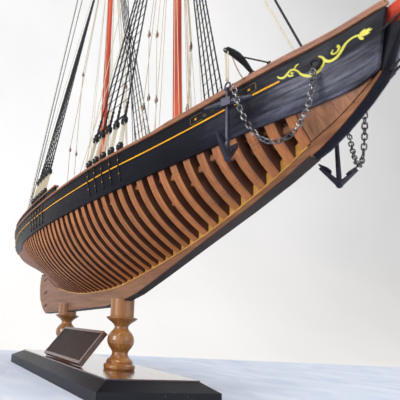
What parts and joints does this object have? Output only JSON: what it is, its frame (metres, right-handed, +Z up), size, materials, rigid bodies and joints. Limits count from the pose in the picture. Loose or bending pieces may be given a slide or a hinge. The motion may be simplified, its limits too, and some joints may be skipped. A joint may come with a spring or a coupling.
{
  "type": "model sailing ship",
  "caption": "Plank-on-frame model of a two-masted fishing schooner with open ribs, black topsides, full rigging, anchors and a turned display stand",
  "frame": {"origin": "centre of the underside of the base board, on the surface the stand rests on", "axes": "+X toward the bow, +Y to port, +Z up"},
  "size_m": [0.6955, 0.1268, 0.7251],
  "materials": {
    "stand_paint": "black paint over wood, slightly sparkling",
    "polished_panel": "polished dark veneer",
    "turned_wood": "varnished turned hardwood",
    "screw_brass": "plain",
    "plaque_wood": "varnished",
    "plaque_bronze": "darkened plate",
    "keel_wood": "oiled",
    "dark_paint": "dark painted wood",
    "post_wood": "oiled",
    "pale_wood": "oiled pale wood",
    "frame_wood": "oiled fruitwood",
    "inner_wood": "oiled",
    "stern_wood": "sanded and oiled",
    "hull_black": "brushed black paint over wood",
    "deck_wood": "oiled planks",
    "white_paint": "white paint over wood",
    "rail_wood": "oiled",
    "dark_wood": "dark stained wood",
    "spar_orange": "orange-red paint over wood",
    "spar_natural": "varnished",
    "fitting_black": "black",
    "cream_cord": "twisted cord",
    "black_cord": "waxed cord",
    "anchor_metal": "blackened with bright edges",
    "chain_metal": "tarnished bright links"
  },
  "bodies": {
    "hull": {"base_board": "stand_paint", "base_top_panel": "polished_panel", "fore_pedestal": "turned_wood", "aft_pedestal": "turned_wood", "pedestal_screws": "screw_brass", "plaque_frame": "plaque_wood", "plaque_plate": "plaque_bronze", "keel": "keel_wood", "keel_shoe": "dark_paint", "stem": "keel_wood", "cutwater": "hull_black", "sternpost": "post_wood", "rising_wood": "pale_wood", "frames": "frame_wood", "stringers": "inner_wood", "bow_filler": "frame_wood", "stern_filler": "stern_wood", "port_wale": "hull_black", "starboard_wale": "hull_black", "port_bulwark": "hull_black", "starboard_bulwark": "hull_black", "transom": "hull_black", "main_deck": "deck_wood", "quarterdeck": "deck_wood", "deck_beams": "inner_wood", "bulwark_stanchions": "white_paint", "port_rail": "rail_wood", "starboard_rail": "rail_wood", "monkey_rails": "hull_black", "monkey_caps": "rail_wood", "cabin_trunk": "white_paint", "main_hatch": "deck_wood", "forecastle_hatch": "white_paint", "windlass_posts": "rail_wood", "wheel_box": "rail_wood", "deck_pumps": "dark_wood", "fore_mast": "spar_orange", "main_mast": "spar_orange", "fore_topmast": "spar_orange", "main_topmast": "spar_orange", "crosstrees": "dark_wood", "mast_caps": "dark_wood", "bowsprit": "spar_orange", "deadeyes": "fitting_black", "lanyards": "cream_cord", "shrouds": "black_cord", "chainplates": "fitting_black", "stays": "black_cord", "catheads": "fitting_black", "anchor_chains": "chain_metal"},
    "rudder": {"rudder": "post_wood"},
    "wheel": {"steering_wheel": "dark_wood"},
    "windlass": {"windlass_barrel": "inner_wood"},
    "cabin_hatch": {"cabin_slide": "rail_wood"},
    "fore_boom_body": {"fore_boom": "spar_natural"},
    "fore_gaff_body": {"fore_gaff": "spar_natural"},
    "main_boom_body": {"main_boom": "spar_natural"},
    "main_gaff_body": {"main_gaff": "spar_natural"},
    "starboard_anchor_body": {"starboard_anchor": "anchor_metal"},
    "port_anchor_body": {"port_anchor": "anchor_metal"}
  },
  "joints": [
    {"name": "rudder_hinge", "type": "hinge", "parent": "hull", "child": "rudder", "pos_m": [-0.1796, 0, 0.104], "axis": [-0.3204, 0, 0.9473], "range_deg": [-32, 32]},
    {"name": "wheel_turn", "type": "hinge", "parent": "hull", "child": "wheel", "pos_m": [-0.236, 0, 0.15188], "axis": [1, 0, 0], "range_deg": [-160, 160]},
    {"name": "windlass_turn", "type": "hinge", "parent": "hull", "child": "windlass", "pos_m": [0.214, 0, 0.15829], "axis": [0, 1, 0], "continuous": true},
    {"name": "cabin_hatch_slide", "type": "slide", "parent": "hull", "child": "cabin_hatch", "axis": [-1, 0, 0], "range_m": [0, 0.012]},
    {"name": "fore_boom_swing", "type": "hinge", "parent": "hull", "child": "fore_boom_body", "pos_m": [0.13317, 0, 0.17047], "axis": [-0.0489, 0, 0.9988], "range_deg": [-26, 26]},
    {"name": "fore_gaff_swing", "type": "hinge", "parent": "hull", "child": "fore_gaff_body", "pos_m": [0.12126, 0, 0.414], "axis": [-0.0489, 0, 0.9988], "range_deg": [-26, 26]},
    {"name": "main_boom_swing", "type": "hinge", "parent": "hull", "child": "main_boom_body", "pos_m": [-0.01019, 0, 0.16473], "axis": [-0.0628, 0, 0.998], "range_deg": [-32, 32]},
    {"name": "main_gaff_swing", "type": "hinge", "parent": "hull", "child": "main_gaff_body", "pos_m": [-0.02846, 0, 0.455], "axis": [-0.0628, 0, 0.998], "range_deg": [-32, 32]},
    {"name": "starboard_anchor_swing", "type": "hinge", "parent": "hull", "child": "starboard_anchor_body", "pos_m": [0.2348, -0.03458, 0.16031], "axis": [1, 0, 0], "range_deg": [-5, 7]},
    {"name": "port_anchor_swing", "type": "hinge", "parent": "hull", "child": "port_anchor_body", "pos_m": [0.2348, 0.03458, 0.16031], "axis": [1, 0, 0], "range_deg": [-7, 5]}
  ],
  "couplings": [
    {"joint": "wheel_turn", "follows": "rudder_hinge", "ratio": 5}
  ]
}
